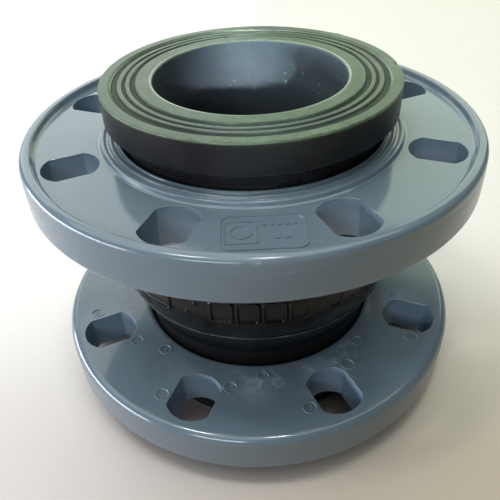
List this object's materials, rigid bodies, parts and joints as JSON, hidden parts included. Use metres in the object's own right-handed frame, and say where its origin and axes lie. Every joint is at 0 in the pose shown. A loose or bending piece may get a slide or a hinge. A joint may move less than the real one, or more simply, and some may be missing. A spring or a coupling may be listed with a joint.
{
  "type": "rubber expansion joint",
  "caption": "Single-sphere rubber pipe expansion joint with grooved sealing beads and two loose, slotted plastic backing flanges; flexes axially, sideways and at an angle.",
  "frame": {"origin": "centre of the lower bead's sealing face, on which the joint stands", "axes": "+Z along the flow axis, up through the joint; +X and +Y through bolt slots of both flanges"},
  "size_m": [0.2, 0.2, 0.15],
  "materials": {
    "bead_rubber": "moulded satin, slightly bloomed sealing face",
    "bead_wire": "drawn, bronze-coated",
    "wrap_fabric": "rubberised square-woven tape",
    "tube_rubber": "smooth moulded",
    "ply_fabric": "rubber-dipped nylon cord",
    "cover_rubber": "moulded satin black",
    "flange_pvc": "injection-moulded, semi-gloss"
  },
  "bodies": {
    "lower_end": {"lower_bead": "bead_rubber", "lower_bead_wire": "bead_wire", "lower_bead_wrap": "wrap_fabric"},
    "wall_shift_x": {"inner_tube": "tube_rubber"},
    "wall_tilt_x": {"inner_ply": "ply_fabric"},
    "wall_axial": {"outer_ply": "ply_fabric"},
    "wall_tilt_y": {"outer_cover": "cover_rubber"},
    "upper_end": {"upper_bead": "bead_rubber", "upper_bead_wire": "bead_wire", "upper_bead_wrap": "wrap_fabric"},
    "lower_ring": {"lower_flange": "flange_pvc"},
    "upper_ring": {"upper_flange": "flange_pvc"}
  },
  "joints": [
    {"name": "lateral_x", "type": "slide", "parent": "lower_end", "child": "wall_shift_x", "axis": [1, 0, 0], "range_m": [-0.01, 0.01], "stiffness_N_per_m": 60000, "deforming": ["inner_tube"]},
    {"name": "angular_x", "type": "hinge", "parent": "wall_shift_x", "child": "wall_tilt_x", "pos_m": [0, 0, 0.075], "axis": [1, 0, 0], "range_deg": [-7.5, 7.5], "stiffness_Nm_per_rad": 260, "deforming": ["inner_ply"]},
    {"name": "axial", "type": "slide", "parent": "wall_tilt_x", "child": "wall_axial", "axis": [0, 0, 1], "range_m": [-0.012, 0.008], "stiffness_N_per_m": 60000, "deforming": ["outer_ply"]},
    {"name": "angular_y", "type": "hinge", "parent": "wall_axial", "child": "wall_tilt_y", "pos_m": [0, 0, 0.075], "axis": [0, 1, 0], "range_deg": [-7.5, 7.5], "stiffness_Nm_per_rad": 260, "deforming": ["outer_cover"]},
    {"name": "lateral_y", "type": "slide", "parent": "wall_tilt_y", "child": "upper_end", "axis": [0, 1, 0], "range_m": [-0.01, 0.01], "stiffness_N_per_m": 60000},
    {"name": "lower_flange_turn", "type": "hinge", "parent": "lower_end", "child": "lower_ring", "pos_m": [0, 0, 0.0228], "axis": [0, 0, 1], "continuous": true},
    {"name": "upper_flange_turn", "type": "hinge", "parent": "upper_end", "child": "upper_ring", "pos_m": [0, 0, 0.1191], "axis": [0, 0, 1], "continuous": true}
  ]
}
